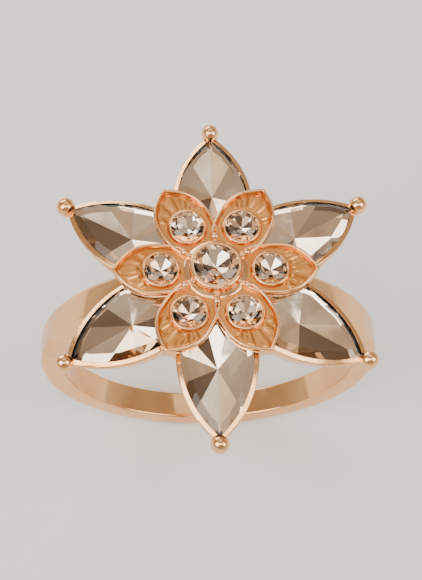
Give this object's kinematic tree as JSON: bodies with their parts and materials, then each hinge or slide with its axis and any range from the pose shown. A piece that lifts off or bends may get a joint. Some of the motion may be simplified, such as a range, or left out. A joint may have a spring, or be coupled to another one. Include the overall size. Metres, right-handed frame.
{
  "type": "cocktail ring",
  "caption": "Rose-gold-plated cocktail ring: a plain polished band under a star of pear-cut clear crystals, with a raised flower of small round stones in the middle.",
  "frame": {"origin": "centre of the finger bore, halfway across the band's width", "axes": "+Y along the finger, out of the bore; +Z from the finger to the head of the ring; +X across the finger"},
  "size_m": [0.021, 0.021, 0.0231],
  "materials": {
    "rose_gold": "polished rose-gold plate",
    "pear_crystal": "clear faceted glass with a silvered pavilion",
    "round_stone": "clear faceted glass with a silvered pavilion",
    "adhesive": "cured clear jewellery adhesive"
  },
  "bodies": {
    "root": {"band": "rose_gold", "centre_bezel": "rose_gold", "centre_stone": "round_stone", "crystal_adhesive": "adhesive", "crystal_cup_1": "rose_gold", "crystal_cup_2": "rose_gold", "crystal_cup_3": "rose_gold", "crystal_cup_4": "rose_gold", "crystal_cup_5": "rose_gold", "crystal_cup_6": "rose_gold", "flower": "rose_gold", "flower_beads": "rose_gold", "flower_post": "rose_gold", "pear_crystal_1": "pear_crystal", "pear_crystal_2": "pear_crystal", "pear_crystal_3": "pear_crystal", "pear_crystal_4": "pear_crystal", "pear_crystal_5": "pear_crystal", "pear_crystal_6": "pear_crystal", "petal_stone_1": "round_stone", "petal_stone_2": "round_stone", "petal_stone_3": "round_stone", "petal_stone_4": "round_stone", "petal_stone_5": "round_stone", "petal_stone_6": "round_stone", "star_hub": "rose_gold", "stone_adhesive": "adhesive", "tip_prong_1": "rose_gold", "tip_prong_2": "rose_gold", "tip_prong_3": "rose_gold", "tip_prong_4": "rose_gold", "tip_prong_5": "rose_gold", "tip_prong_6": "rose_gold"}
  },
  "joints": []
}
